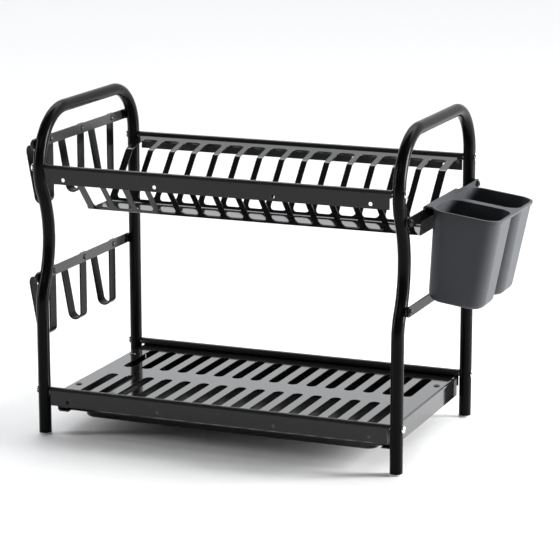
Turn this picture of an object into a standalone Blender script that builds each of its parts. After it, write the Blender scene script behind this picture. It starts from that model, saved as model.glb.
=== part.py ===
"""Two-tier dish drying rack: bent side tubes, rolled-edge rails, a slotted plate rack,
a drain board with a pull-out drip tray, hook bars on the left, a utensil cup on the right.

Metres, +Z up. X runs along the rack, the front faces -Y, the floor is Z = 0, and the
origin lies under the middle of the whole rack, hooks and cup included.
"""
import math

import bmesh
import bpy
from mathutils import Matrix, Vector

# ---------------------------------------------------------------- driving sizes
FIT = 0.0003              # gap between pieces that touch

TUBE_R = 0.008            # side tube, outer radius
TUBE_WALL = 0.0012
LEG_X = 0.238             # half the distance between the two side frames
LEG_Y = 0.1375            # half the distance between front and rear legs
FRAME_TOP = 0.415         # height of the handle's centreline
FRONT_CORNER_R = 0.070
REAR_CORNER_R = 0.062
WAIST_BELOW_RAIL = 0.0905  # deepest point of the front leg's bend, below the upper rail
WAIST_DEPTH = 0.0215
WAIST_R = 0.123
WAIST_BLEND_R = 0.063

FOOT_DISC = 0.002         # height of the foot under the tube's end
FOOT_PLUG = 0.012
FOOT_LIP = 0.0003         # how far the foot's disc stands out past the tube

BEAD_R = 0.0045           # rolled bead along each rail's top
SHEET = 0.0012            # steel sheet of rails, rack and board
RAIL_HEIGHT = 0.0233
RAIL_END_GAP = 0.0025     # the flange stops this far short of the tube
LOWER_RAIL_Z = 0.058      # centre of the lower beads
HANDLE_RISE = 0.069       # handle's centreline above the upper beads
RAIL_HOLE_R = 0.0025
RAIL_HOLE_DROP = 0.0131   # below the bead's centre
RAIL_HOLE_PITCH = 0.125
RAIL_HOLE_INSET = 0.024   # outermost hole from the flange's end

BOLT_HEAD_R = 0.0048
BOLT_HEAD_H = 0.003
BOLT_BITE = 0.012         # how far a bolt screws into the rail's bead

RACK_END_GAP = 0.005      # from the rack's end to the tube
RACK_BASE_HALF = 0.029    # half width of the rack's flat base
RACK_SHOULDER = 0.0479    # run of the shoulder, from the steep ribs to the rack's edge
RACK_SLOPE = math.radians(47.5)
SHOULDER_SLOPE = math.radians(12.0)
RACK_EDGE_DROP = 0.0006   # rack's edge below the bead's centre
RACK_FLAP = 0.004         # edge that hangs along the rail's flange
RIB_WIDTH = 0.008
END_RIB_WIDTH = 0.010
RIB_PITCH = 0.03127
END_RIB_INSET = 0.001     # the end ribs stand back from the base's ends
WINDOW_CORNER_R = 0.0055
WINDOW_LOW = 0.0033       # solid strip between base and window, in plan
WINDOW_HIGH = 0.0134      # solid strip between window and the rack's edge

BOARD_END_GAP = 0.0025    # from the skirt to the tube
SKIRT = 0.025
SKIRT_INSET = 0.0185      # the skirts stop this far short of the board's edges
BOARD_LIP = 0.0055        # front edge; the rear edge hangs as deep as the skirts
BOARD_FOLD_R = 0.0022     # to the middle of the sheet
SLOT_WIDTH = 0.014
SLOT_PITCH = 0.0261
SLOT_MARGIN = 0.0305      # from the slot's tip to the board's edge
SLOT_SPINE = 0.018        # half width of the solid strip between the two rows
SLOT_END_MARGIN = 0.017   # least distance from a slot to the board's end

RUNNER_WIDTH = 0.013
RUNNER_WALL = 0.0014
RUNNER_CHANNEL = 0.0034   # height of the slot the tray's rim slides in
RUNNER_LOW = 0.0016       # the runner's foot below the skirt's edge
TRAY_RIM_T = 0.0015
TRAY_INSET = 0.004        # the tray's rim stops this far behind the skirts' front ends
TRAY_REAR_GAP = 0.0012    # from the rim to the board's rear edge, which stops the tray
TRAY_SIDE_GAP = 0.0025    # from the rim to the runner's web
TRAY_RIM = 0.009          # rim beyond the tray's body at the front and rear
TRAY_SIDE_RIM = 0.018
TRAY_DEPTH = 0.013
TRAY_WALL = 0.0016
TRAY_DRAFT = 0.0045
TRAY_CORNER_R = 0.015

BAR_T = 0.002             # flat bars on the side frames
BAR_HEIGHT = 0.013
SPACER_T = 0.0014         # washer between the tube and the bar
LEFT_UPPER_BAR_ABOVE_RAIL = 0.028
RIGHT_UPPER_BAR_BELOW_RAIL = 0.0345
LOWER_BAR_BELOW_WAIST = 0.0535
SCREW_R = 0.002
SCREW_HEAD_R = 0.0042
SCREW_HEAD_H = 0.0022
SCREW_BITE = 0.006

HOOK_T = 0.0018
HOOK_WIDTH = 0.0175
HOOK_PITCH = 0.088
HOOK_SHIFT = 0.004        # middle hook, behind the bar's middle
HOOK_DROP = 0.0747        # from the bar's centre to the centre of the hook's bend
HOOK_BEND_R = 0.0089      # to the middle of the strip
HOOK_FLARE = math.radians(10.0)
HOOK_TIP_DROP = 0.011     # free tip below the bar's centre
RIVET_R = 0.0019
RIVET_HEAD_R = 0.0036
RIVET_HEAD_H = 0.0017

CUP_LENGTH = 0.163
CUP_WIDTH = 0.086
CUP_HEIGHT = 0.116
CUP_SHIFT = 0.001         # cup's middle, behind the bar's middle
CUP_WALL = 0.0020
CUP_FLOOR = 0.0022
CUP_DRAFT = math.radians(3.5)
CUP_INNER_DRAFT = math.radians(1.0)
CUP_TILT = math.radians(7.5)
CUP_CORNER_R = 0.020
CUP_FOOT_R = 0.010
CUP_SPLIT = 0.010         # between the two buckets, under the rim
CUP_BAND = 0.003          # thickened band at the rim
CUP_BAND_OUT = 0.0015
CUP_OFF_BAR = 0.0073      # from the bar's face to the cup's wall at the rim
LEDGE_FRONT = 0.068
LEDGE_REAR = 0.053
LEDGE_T = 0.002
LEDGE_REACH = 0.0112      # from the cup's wall to the lip behind the bar
HOOK_LIP = 0.037          # lip that hangs behind the bar
DRAIN_HOLE_R = 0.0025
DRAIN_PITCH = 0.030

SIDES = (("left", -1), ("right", 1))

# ---------------------------------------------------------------- derived places
UPPER_RAIL_Z = FRAME_TOP - HANDLE_RISE
WAIST_Z = UPPER_RAIL_Z - WAIST_BELOW_RAIL
TUBE_FACE_IN = LEG_X - TUBE_R
TUBE_FACE_OUT = LEG_X + TUBE_R
BEAD_END = TUBE_FACE_IN - FIT
FLANGE_END = TUBE_FACE_IN - RAIL_END_GAP
RACK_HALF = TUBE_FACE_IN - RACK_END_GAP
BOARD_HALF = TUBE_FACE_IN - BOARD_END_GAP
BOLT_R = BEAD_R - SHEET - FIT
FLANGE_IN_Y = LEG_Y + BEAD_R - SHEET
BOARD_TOP = LOWER_RAIL_Z - BEAD_R - FIT
BOARD_EDGE_Y = FLANGE_IN_Y - FIT
SKIRT_HALF = BOARD_EDGE_Y - SKIRT_INSET
RUNNER_REAR = BOARD_EDGE_Y - SHEET - FIT
TRAY_FRONT = TRAY_INSET - SKIRT_HALF
TRAY_REAR = BOARD_EDGE_Y - SHEET - TRAY_REAR_GAP
RACK_EDGE_Y = LEG_Y - BEAD_R - 2 * FIT
RACK_BEND_Y = RACK_EDGE_Y - RACK_SHOULDER
BAR_IN = TUBE_FACE_OUT + FIT + SPACER_T + FIT
BAR_OUT = BAR_IN + BAR_T
LOWER_BAR_Z = WAIST_Z - LOWER_BAR_BELOW_WAIST
LEFT_UPPER_BAR_Z = UPPER_RAIL_Z + LEFT_UPPER_BAR_ABOVE_RAIL
RIGHT_UPPER_BAR_Z = UPPER_RAIL_Z - RIGHT_UPPER_BAR_BELOW_RAIL


# ---------------------------------------------------------------- scene and finishes
def clear_scene():
    for obj in list(bpy.data.objects):
        bpy.data.objects.remove(obj, do_unlink=True)


def finish(name, colour, roughness, metallic=0.0, coat=0.0):
    mat = bpy.data.materials.new(name)
    mat.use_nodes = True
    shader = mat.node_tree.nodes["Principled BSDF"]
    shader.inputs["Base Color"].default_value = (*colour, 1.0)
    shader.inputs["Roughness"].default_value = roughness
    shader.inputs["Metallic"].default_value = metallic
    shader.inputs["Coat Weight"].default_value = coat
    return mat


def add_object(name, bm, mat, sharp=35.0):
    bmesh.ops.recalc_face_normals(bm, faces=bm.faces)
    mesh = bpy.data.meshes.new(name)
    bm.to_mesh(mesh)
    bm.free()
    mesh.shade_smooth()
    mesh.set_sharp_from_angle(angle=math.radians(sharp))
    obj = bpy.data.objects.new(name, mesh)
    bpy.context.collection.objects.link(obj)
    if mat is not None:
        mesh.materials.append(mat)
    return obj


def cut(obj, cutter, operation="DIFFERENCE"):
    """Boolean by another object, which then counts only as a tool."""
    cutter.hide_render = True
    cutter.display_type = "WIRE"
    mod = obj.modifiers.new(cutter.name, "BOOLEAN")
    mod.operation = operation
    mod.object = cutter


# ---------------------------------------------------------------- shape helpers
def loft(bm, loops, closed=False):
    """Skin through loops of equal length; the ends are capped unless the loft closes."""
    rings = [[bm.verts.new(p) for p in loop] for loop in loops]
    pairs = list(zip(rings, rings[1:]))
    if closed:
        pairs.append((rings[-1], rings[0]))
    for low, high in pairs:
        for i, vert in enumerate(low):
            j = (i + 1) % len(low)
            bm.faces.new((vert, low[j], high[j], high[i]))
    if not closed:
        bm.faces.new(reversed(rings[0]))
        bm.faces.new(rings[-1])


def prism(bm, outline, along, start, end):
    """Outline of 2-D points pushed along one axis; the other two axes keep their order."""
    def place(point, depth):
        coords = list(point)
        coords.insert("xyz".index(along), depth)
        return Vector(coords)
    loft(bm, [[place(p, d) for p in outline] for d in (start, end)])


def rounded_path(points, radii, step=math.radians(22.0)):
    """Open 2-D path whose inner corners are replaced by arcs."""
    path = [Vector(points[0])]
    for before, corner, after, radius in zip(points, points[1:], points[2:], radii):
        corner = Vector(corner)
        into = (corner - Vector(before)).normalized()
        out = (Vector(after) - corner).normalized()
        turn = into.angle(out)
        side = 1.0 if into.cross(out) > 0 else -1.0
        back = radius * math.tan(turn / 2)
        start = corner - into * back
        centre = start + Vector((-into.y, into.x)) * side * radius
        count = max(2, math.ceil(turn / step))
        for k in range(count + 1):
            spin = Matrix.Rotation(side * turn * k / count, 2)
            path.append(centre + spin @ (start - centre))
    path.append(Vector(points[-1]))
    return path


def ribbon(path, thickness):
    """Closed outline of an open 2-D path given a thickness, half to each side."""
    left, right = [], []
    for i, point in enumerate(path):
        into = (point - path[i - 1]).normalized() if i else None
        out = (path[i + 1] - point).normalized() if i + 1 < len(path) else into
        into = into or out
        middle = (into + out).normalized()
        reach = thickness / 2 / max(middle.dot(out), 0.5)
        normal = Vector((-middle.y, middle.x)) * reach
        left.append(point + normal)
        right.append(point - normal)
    return [tuple(p) for p in left + right[::-1]]


def circle(radius, sides, centre=(0.0, 0.0), start=0.0):
    return [(centre[0] + radius * math.cos(start + 2 * math.pi * k / sides),
             centre[1] + radius * math.sin(start + 2 * math.pi * k / sides)) for k in range(sides)]


def rounded_rectangle(x0, x1, y0, y1, radius, steps=4):
    outline = []
    corners = ((x1, y1, 0), (x0, y1, 90), (x0, y0, 180), (x1, y0, 270))
    for x, y, first in corners:
        cx = x - math.copysign(radius, x - (x0 + x1) / 2)
        cy = y - math.copysign(radius, y - (y0 + y1) / 2)
        for k in range(steps + 1):
            angle = math.radians(first + 90 * k / steps)
            outline.append((cx + radius * math.cos(angle), cy + radius * math.sin(angle)))
    return outline


def turned(bm, profile, axis_point, along, sides=12):
    """Closed solid turned about a line parallel to X or Z; profile is (distance along, radius)."""
    loops = []
    for distance, radius in profile:
        loop = []
        for u, v in circle(radius, sides):
            offset = Vector((distance, u, v)) if along == "x" else Vector((u, v, distance))
            loop.append(Vector(axis_point) + offset)
        loops.append(loop)
    loft(bm, loops)


# ---------------------------------------------------------------- side frames
def frame_path():
    """Centreline of a side tube as (y, z), from the front foot over the handle to the rear foot."""
    step = math.radians(12.0)
    turn = math.acos(1 - WAIST_DEPTH / (WAIST_R + WAIST_BLEND_R))
    half = (WAIST_R + WAIST_BLEND_R) * math.sin(turn)
    foot = FOOT_DISC + FIT
    path = [(-LEG_Y, foot)]

    def arc(cy, cz, radius, first, last):
        count = max(2, math.ceil(abs(last - first) / step))
        for k in range(count + 1):
            angle = first + (last - first) * k / count
            path.append((cy + radius * math.cos(angle), cz + radius * math.sin(angle)))

    blend_y = -LEG_Y + WAIST_BLEND_R
    waist_y = -LEG_Y + WAIST_DEPTH - WAIST_R
    arc(blend_y, WAIST_Z - half, WAIST_BLEND_R, math.pi, math.pi - turn)
    arc(waist_y, WAIST_Z, WAIST_R, -turn, turn)
    arc(blend_y, WAIST_Z + half, WAIST_BLEND_R, math.pi + turn, math.pi)
    arc(-LEG_Y + FRONT_CORNER_R, FRAME_TOP - FRONT_CORNER_R, FRONT_CORNER_R, math.pi, math.pi / 2)
    arc(LEG_Y - REAR_CORNER_R, FRAME_TOP - REAR_CORNER_R, REAR_CORNER_R, math.pi / 2, 0.0)
    path.append((LEG_Y, foot))
    merged = [path[0]]
    for point in path[1:]:
        if math.dist(point, merged[-1]) > TUBE_WALL:
            merged.append(point)
    return merged


def end_word(y):
    return "front" if y < 0 else "rear"


def leg_y(height, rear=False):
    """Where a leg's centreline stands at a height."""
    path = frame_path()
    top = max(range(len(path)), key=lambda i: path[i][1])
    leg = path[top:][::-1] if rear else path[:top + 1]
    for (y0, z0), (y1, z1) in zip(leg, leg[1:]):
        if z0 <= height <= z1:
            return y0 + (y1 - y0) * (height - z0) / (z1 - z0)
    return leg[0][0]


def bar_places(side):
    """(name, height) of the flat bars on a side frame."""
    if side < 0:
        return [("left_upper_hook_bar", LEFT_UPPER_BAR_Z), ("left_lower_hook_bar", LOWER_BAR_Z)]
    return [("right_upper_bar", RIGHT_UPPER_BAR_Z), ("right_lower_bar", LOWER_BAR_Z)]


def bolt_places():
    """(y, z) of the bolts that join a side tube to the four rails."""
    return [(y, z) for z in (LOWER_RAIL_Z, UPPER_RAIL_Z) for y in (-LEG_Y, LEG_Y)]


def screw_places(side):
    """(y, z) of the screws that hold the flat bars to a side tube."""
    return [(leg_y(z, rear), z) for _, z in bar_places(side) for rear in (False, True)]


def side_tube(name, side, mat):
    path = frame_path()
    outer, inner = [], []
    for i, (y, z) in enumerate(path):
        before = Vector(path[max(i - 1, 0)])
        after = Vector(path[min(i + 1, len(path) - 1)])
        along = (after - before).normalized()
        normal = Vector((0.0, -along.y, along.x))
        centre = Vector((side * LEG_X, y, z))
        for rings, radius, sides in ((outer, TUBE_R, 12), (inner, TUBE_R - TUBE_WALL, 12)):
            rings.append([centre + Vector((u, 0.0, 0.0)) + normal * v for u, v in circle(radius, sides)])
    bm = bmesh.new()
    loft(bm, outer + inner[::-1], closed=True)
    tube = add_object(name, bm, mat)

    drill = bmesh.new()
    reach = TUBE_R + 2 * TUBE_WALL
    for y, z in bolt_places():
        turned(drill, [(-reach, BOLT_R + FIT), (reach, BOLT_R + FIT)], (side * LEG_X, y, z), "x", 10)
    for y, z in screw_places(side):
        span = sorted((0.0, side * reach))
        turned(drill, [(d, SCREW_R + FIT) for d in span], (side * LEG_X, y, z), "x", 10)
    cut(tube, add_object(name + "_drill", drill, None))


def foot_cap(name, side, rear, mat):
    plug = TUBE_R - TUBE_WALL - FIT
    disc = TUBE_R + FOOT_LIP
    chamfer = FOOT_LIP + FIT
    profile = [(0.0, disc - chamfer), (chamfer, disc), (FOOT_DISC, disc), (FOOT_DISC, plug),
               (FOOT_PLUG - chamfer, plug), (FOOT_PLUG, plug - chamfer)]
    bm = bmesh.new()
    turned(bm, profile, (side * LEG_X, LEG_Y if rear else -LEG_Y, 0.0), "z", 16)
    add_object(name, bm, mat)


# ---------------------------------------------------------------- rails
def rail(name, height, facing, mat):
    """Sheet hanging from a rolled bead; facing is -1 at the front and 1 at the rear."""
    middle = BEAD_R - SHEET / 2
    path = [Vector((middle, BEAD_R - RAIL_HEIGHT))]
    curl, turns = math.radians(305.0), 13
    for k in range(turns + 1):
        angle = curl * k / turns
        path.append(Vector((middle * math.cos(angle), middle * math.sin(angle))))
    outline = [(facing * (LEG_Y + v), height + w) for v, w in ribbon(path, SHEET)]
    bm = bmesh.new()
    prism(bm, outline, "x", -BEAD_END, BEAD_END)
    bar = add_object(name, bm, mat)

    tool = bmesh.new()
    face_y = facing * (LEG_Y + BEAD_R)
    low, high = sorted((face_y + facing * SHEET, face_y - facing * 3 * SHEET))
    outer_hole = FLANGE_END - RAIL_HOLE_INSET
    for side in (-1, 1):
        for x in (outer_hole, outer_hole - RAIL_HOLE_PITCH):
            hole = circle(RAIL_HOLE_R, 10, (side * x, height - RAIL_HOLE_DROP))
            prism(tool, hole, "y", low, high)
        end_low, end_high = sorted((side * FLANGE_END, side * (BEAD_END + SHEET)))
        gap = [(end_low, height - RAIL_HEIGHT), (end_high, height - RAIL_HEIGHT),
               (end_high, height - BEAD_R - FIT), (end_low, height - BEAD_R - FIT)]
        prism(tool, gap, "y", low, high)
    cut(bar, add_object(name + "_holes", tool, None))


def frame_bolts(mat):
    """Domed bolts through both walls of the tube, screwed into the ends of the rolled beads."""
    socket_r, socket_d = BOLT_HEAD_R * 0.45, BOLT_HEAD_H * 0.6
    tip = 2 * TUBE_R + FIT + BOLT_BITE
    profile = [(FIT + BOLT_HEAD_H - socket_d, socket_r), (FIT + BOLT_HEAD_H, socket_r),
               (FIT + BOLT_HEAD_H, BOLT_HEAD_R * 0.72), (FIT + BOLT_HEAD_H * 0.55, BOLT_HEAD_R * 0.95),
               (FIT, BOLT_HEAD_R), (FIT, BOLT_R), (-tip, BOLT_R)]
    for word, side in SIDES:
        for y, z in bolt_places():
            bm = bmesh.new()
            turned(bm, [(side * d, r) for d, r in profile], (side * TUBE_FACE_OUT, y, z), "x", 10)
            level = "lower" if z < WAIST_Z else "upper"
            add_object(f"frame_bolt_{level}_{end_word(y)}_{word}", bm, mat)


# ---------------------------------------------------------------- plate rack
def rack_heights():
    """Height of the rack's edge, of its shoulder bend and of its base (middle of the sheet)."""
    edge = UPPER_RAIL_Z - RACK_EDGE_DROP
    bend = edge - (RACK_EDGE_Y - SHEET / 2 - RACK_BEND_Y) * math.tan(SHOULDER_SLOPE)
    base = bend - (RACK_BEND_Y - RACK_BASE_HALF) * math.tan(RACK_SLOPE)
    return edge, bend, base


def rib_centres():
    """(x, width) of the ribs: an even pitch about the middle, a wider one at each end."""
    end = RACK_HALF - END_RIB_INSET - END_RIB_WIDTH / 2
    half_count = int((end - 0.75 * RIB_PITCH) / RIB_PITCH)
    inner = [(k * RIB_PITCH, RIB_WIDTH) for k in range(-half_count, half_count + 1)]
    return [(-end, END_RIB_WIDTH)] + inner + [(end, END_RIB_WIDTH)]


def plate_rack(mat):
    edge_z, bend_z, base_z = rack_heights()
    edge_y = RACK_EDGE_Y - SHEET / 2
    seat_z = UPPER_RAIL_Z - BEAD_R - FIT - SHEET / 2
    flap_y = FLANGE_IN_Y - FIT - SHEET / 2
    half = [(RACK_BASE_HALF, base_z), (RACK_BEND_Y, bend_z), (edge_y, edge_z), (edge_y, seat_z),
            (flap_y, seat_z), (flap_y, seat_z - SHEET / 2 - RACK_FLAP)]
    points = [(-y, z) for y, z in half[::-1]] + half
    bends = [0.004, 0.010, 0.0014, 0.0012, 0.0012]
    path = rounded_path(points, bends[::-1] + bends)
    bm = bmesh.new()
    prism(bm, ribbon(path, SHEET), "x", -RACK_HALF, RACK_HALF)
    rack = add_object("plate_rack", bm, mat)

    tool = bmesh.new()
    low, high = base_z - SHEET, UPPER_RAIL_Z + BEAD_R
    near = RACK_BASE_HALF + WINDOW_LOW
    far = RACK_EDGE_Y - WINDOW_HIGH
    ribs = rib_centres()
    spans = [(a + v / 2, b - w / 2) for (a, v), (b, w) in zip(ribs, ribs[1:])]
    for facing in (-1, 1):
        y0, y1 = sorted((facing * near, facing * far))
        for x0, x1 in spans:
            prism(tool, rounded_rectangle(x0, x1, y0, y1, WINDOW_CORNER_R, 2), "z", low, high)
        for side in (-1, 1):
            x0, x1 = sorted((side * (RACK_HALF - END_RIB_INSET), side * (RACK_HALF + RIB_WIDTH)))
            prism(tool, [(x0, y0), (x1, y0), (x1, y1), (x0, y1)], "z", low, high)
    cut(rack, add_object("plate_rack_windows", tool, None))


# ---------------------------------------------------------------- drain board, runners, tray
def slot_centres():
    room = BOARD_HALF - SLOT_END_MARGIN - SLOT_WIDTH / 2
    count = int((room - SLOT_PITCH / 2) / SLOT_PITCH) + 1
    return [side * (k + 0.5) * SLOT_PITCH for k in range(count) for side in (-1, 1)]


def runner_x():
    """Inner and outer face of a runner, inside the board's skirt."""
    outer = BOARD_HALF - SHEET - FIT
    return outer - RUNNER_WIDTH, outer


def channel_z():
    """Bottom and top of the slot in the runners that carries the tray's rim."""
    low = BOARD_TOP - SKIRT - RUNNER_LOW + RUNNER_WALL
    return low, low + RUNNER_CHANNEL


def screw_row():
    """(name, x, y) of the screws that hold the runners under the board."""
    inner, _ = runner_x()
    reach = inner + RUNNER_WIDTH * 0.3
    return [(f"{end_word(sy)}_{word}", sx * reach, sy * SKIRT_HALF * 0.67)
            for word, sx in SIDES for sy in (-1, 1)]


def drain_board(mat):
    top = BOARD_TOP - SHEET / 2
    wall = BOARD_HALF - SHEET / 2
    points = [(-wall, BOARD_TOP - SKIRT), (-wall, top), (wall, top), (wall, BOARD_TOP - SKIRT)]
    path = rounded_path(points, [BOARD_FOLD_R, BOARD_FOLD_R])
    bm = bmesh.new()
    prism(bm, ribbon(path, SHEET), "y", -BOARD_EDGE_Y, BOARD_EDGE_Y)
    board = add_object("drain_board", bm, mat)

    lips = bmesh.new()
    corner = 2.5 * SHEET
    for facing in (-1, 1):
        y0, y1 = sorted((facing * BOARD_EDGE_Y, facing * (BOARD_EDGE_Y - SHEET)))
        low = BOARD_TOP - (BOARD_LIP if facing < 0 else SKIRT)
        section = [(y0, low), (y1, low), (y1, top), (y0, top)]
        prism(lips, section, "x", corner - BOARD_HALF, BOARD_HALF - corner)
    cut(board, add_object("drain_board_lips", lips, None), "UNION")

    tool = bmesh.new()
    low, high = BOARD_TOP - 2 * SHEET, BOARD_TOP + SHEET
    for x in slot_centres():
        for facing in (-1, 1):
            y0, y1 = sorted((facing * SLOT_SPINE, facing * (BOARD_EDGE_Y - SLOT_MARGIN)))
            outline = rounded_rectangle(x - SLOT_WIDTH / 2, x + SLOT_WIDTH / 2, y0, y1, SLOT_WIDTH * 0.49, 2)
            prism(tool, outline, "z", low, high)
    for _, x, y in screw_row():
        prism(tool, circle(SCREW_R + FIT, 8, (x, y)), "z", low, high)
    for _, sx in SIDES:
        for sy in (-1, 1):
            x0, x1 = sorted((sx * (BOARD_HALF - corner), sx * (BOARD_HALF + SHEET)))
            y0, y1 = sorted((sy * SKIRT_HALF, sy * (BOARD_EDGE_Y + SHEET)))
            prism(tool, [(x0, y0), (x1, y0), (x1, y1), (x0, y1)], "z", BOARD_TOP - SKIRT - SHEET, high)
    cut(board, add_object("drain_board_slots", tool, None))


def tray_runner(name, side, mat):
    """Extruded section: a top flange screwed under the board and a channel for the tray's rim."""
    inner, outer = runner_x()
    low, high = channel_z()
    top = BOARD_TOP - SHEET - FIT
    wall = RUNNER_WALL
    chamfer = BOARD_FOLD_R
    section = [(inner, low - wall), (outer, low - wall), (outer, top - chamfer), (outer - chamfer, top),
               (inner, top), (inner, top - wall), (outer - wall - chamfer, top - wall),
               (outer - wall, top - wall - chamfer), (outer - wall, high + wall), (inner, high + wall),
               (inner, high), (outer - wall, high), (outer - wall, low), (inner, low)]
    bm = bmesh.new()
    prism(bm, [(side * x, z) for x, z in section], "y", -SKIRT_HALF, RUNNER_REAR)
    runner = add_object(name, bm, mat)

    tool = bmesh.new()
    for _, x, y in screw_row():
        if x * side > 0:
            prism(tool, circle(SCREW_R + FIT, 8, (x, y)), "z", top - 2 * wall, top + wall)
    cut(runner, add_object(name + "_holes", tool, None))


def board_screws(mat):
    grip = SHEET + FIT + RUNNER_WALL
    profile = [(-grip - 2 * RUNNER_WALL, SCREW_R * 0.7), (-grip - RUNNER_WALL, SCREW_R), (FIT, SCREW_R),
               (FIT, SCREW_HEAD_R), (SCREW_HEAD_H * 0.5, SCREW_HEAD_R * 0.85),
               (SCREW_HEAD_H * 0.75, SCREW_HEAD_R * 0.4)]
    for place, x, y in screw_row():
        bm = bmesh.new()
        turned(bm, profile, (x, y, BOARD_TOP), "z", 10)
        add_object("board_screw_" + place, bm, mat)


def drip_tray(mat):
    """Shallow pan; its rim slides in the runners' channels."""
    _, outer = runner_x()
    rim_x = outer - RUNNER_WALL - TRAY_SIDE_GAP
    rim_low = channel_z()[0] + FIT
    rim_top = rim_low + TRAY_RIM_T
    floor = rim_top - TRAY_DEPTH

    def loop(inset_x, inset_y, z, radius):
        outline = rounded_rectangle(inset_x - rim_x, rim_x - inset_x,
                                    TRAY_FRONT + inset_y, TRAY_REAR - inset_y, radius)
        return [(x, y, z) for x, y in outline]

    def body(inset, z, shrink=0.0):
        return loop(TRAY_SIDE_RIM + inset, TRAY_RIM + inset, z, TRAY_CORNER_R - shrink)

    lean = TRAY_DRAFT
    loops = [body(TRAY_WALL + lean + 0.002, floor + TRAY_WALL, 0.006),
             body(TRAY_WALL + lean, floor + TRAY_WALL + 0.002, 0.004),
             body(TRAY_WALL, rim_top, 0.002),
             loop(0.0, 0.0, rim_top, 0.010),
             loop(0.0, 0.0, rim_low, 0.010),
             body(0.0, rim_low),
             body(lean, floor + 0.003, 0.003),
             body(lean + 0.003, floor, 0.005)]
    bm = bmesh.new()
    loft(bm, loops)
    add_object("drip_tray", bm, mat)


# ---------------------------------------------------------------- bars and hooks
def hook_centres():
    return [HOOK_SHIFT + k * HOOK_PITCH for k in (-1, 0, 1)]


def flat_bar(name, height, side, mat):
    ends = [leg_y(height), leg_y(height, rear=True)]
    half = BAR_HEIGHT / 2
    outline = []
    for centre, first in ((ends[1], 90.0), (ends[0], 270.0)):
        for k in range(7):
            angle = math.radians(first - 30.0 * k)
            outline.append((centre + half * math.cos(angle), height + half * math.sin(angle)))
    bm = bmesh.new()
    faces = sorted((side * BAR_IN, side * BAR_OUT))
    prism(bm, outline, "x", *faces)
    bar = add_object(name, bm, mat)
    drill = bmesh.new()
    low, high = faces[0] - BAR_T, faces[1] + BAR_T
    holes = [(y, SCREW_R) for y in ends]
    if side < 0:
        holes += [(y, RIVET_R) for y in hook_centres()]
    for y, radius in holes:
        prism(drill, circle(radius + FIT, 10, (y, height)), "x", low, high)
    cut(bar, add_object(name + "_holes", drill, None))


def bar_fixings(screw_mat, spacer_mat):
    """At each end of each bar: a washer against the tube and a low-headed screw outside."""
    profile = [(FIT + SCREW_HEAD_H, SCREW_HEAD_R * 0.6), (FIT + SCREW_HEAD_H * 0.6, SCREW_HEAD_R * 0.92),
               (FIT, SCREW_HEAD_R), (FIT, SCREW_R), (FIT - BAR_T - 2 * FIT - SPACER_T - SCREW_BITE, SCREW_R)]
    bore, rim = SCREW_R + FIT, BAR_HEIGHT / 2
    low, high = TUBE_FACE_OUT + FIT, TUBE_FACE_OUT + FIT + SPACER_T
    for word, side in SIDES:
        for bar, height in bar_places(side):
            level = "lower" if height == LOWER_BAR_Z else "upper"
            for y in (leg_y(height), leg_y(height, rear=True)):
                place = f"{level}_{end_word(y)}_{word}"
                bm = bmesh.new()
                turned(bm, [(side * d, r) for d, r in profile], (side * BAR_OUT, y, height), "x", 10)
                add_object("bar_screw_" + place, bm, screw_mat)
                rings = [[(side * x, y + u, height + v) for u, v in circle(r, 14)]
                         for x, r in ((low, bore), (high, bore), (high, rim), (low, rim))]
                bm = bmesh.new()
                loft(bm, rings, closed=True)
                add_object("bar_spacer_" + place, bm, spacer_mat)


def wall_hook(name, bar_z, y, mat):
    """Flat strip riveted behind the bar: down, round a bend, and up to a free rounded tip."""
    x = -(BAR_OUT + FIT + HOOK_T / 2)
    bend_z = bar_z - HOOK_DROP
    path = [Vector((x, bar_z + BAR_HEIGHT / 2)), Vector((x, bar_z - BAR_HEIGHT))]
    steps = 8
    for k in range(steps + 1):
        angle = -(math.pi - HOOK_FLARE) * k / steps
        path.append(Vector((x - HOOK_BEND_R + HOOK_BEND_R * math.cos(angle),
                            bend_z + HOOK_BEND_R * math.sin(angle))))
    up = Vector((-math.sin(HOOK_FLARE), math.cos(HOOK_FLARE)))
    rise = (bar_z - HOOK_TIP_DROP - path[-1].y) / up.y
    straight = rise - HOOK_WIDTH / 2
    start = path[-1].copy()
    widths = [HOOK_WIDTH / 2] * len(path)
    for k in range(5):
        angle = math.radians(20.0 * k)
        path.append(start + up * (straight + HOOK_WIDTH / 2 * math.sin(angle)))
        widths.append(HOOK_WIDTH / 2 * math.cos(angle))
    loops = []
    for i, point in enumerate(path):
        before = path[max(i - 1, 0)]
        after = path[min(i + 1, len(path) - 1)]
        along = (after - before).normalized()
        normal = Vector((-along.y, along.x)) * (HOOK_T / 2)
        corners = ((point + normal, -1), (point + normal, 1), (point - normal, 1), (point - normal, -1))
        loops.append([(p.x, y + s * widths[i], p.y) for p, s in corners])
    bm = bmesh.new()
    loft(bm, loops)
    hook = add_object(name, bm, mat)
    drill = bmesh.new()
    prism(drill, circle(RIVET_R + FIT, 10, (y, bar_z)), "x", x - HOOK_T, x + HOOK_T)
    cut(hook, add_object(name + "_hole", drill, None))


def hook_rivet(name, bar_z, y, mat):
    grip = BAR_T + FIT + HOOK_T
    profile = [(RIVET_HEAD_H + FIT, RIVET_HEAD_R * 0.4), (RIVET_HEAD_H * 0.7 + FIT, RIVET_HEAD_R * 0.85),
               (FIT, RIVET_HEAD_R), (FIT, RIVET_R), (-grip - FIT, RIVET_R), (-grip - FIT, RIVET_HEAD_R),
               (-grip - FIT - RIVET_HEAD_H, RIVET_HEAD_R * 0.5)]
    bm = bmesh.new()
    turned(bm, profile, (-BAR_IN, y, bar_z), "x", 10)
    add_object(name, bm, mat)


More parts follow.
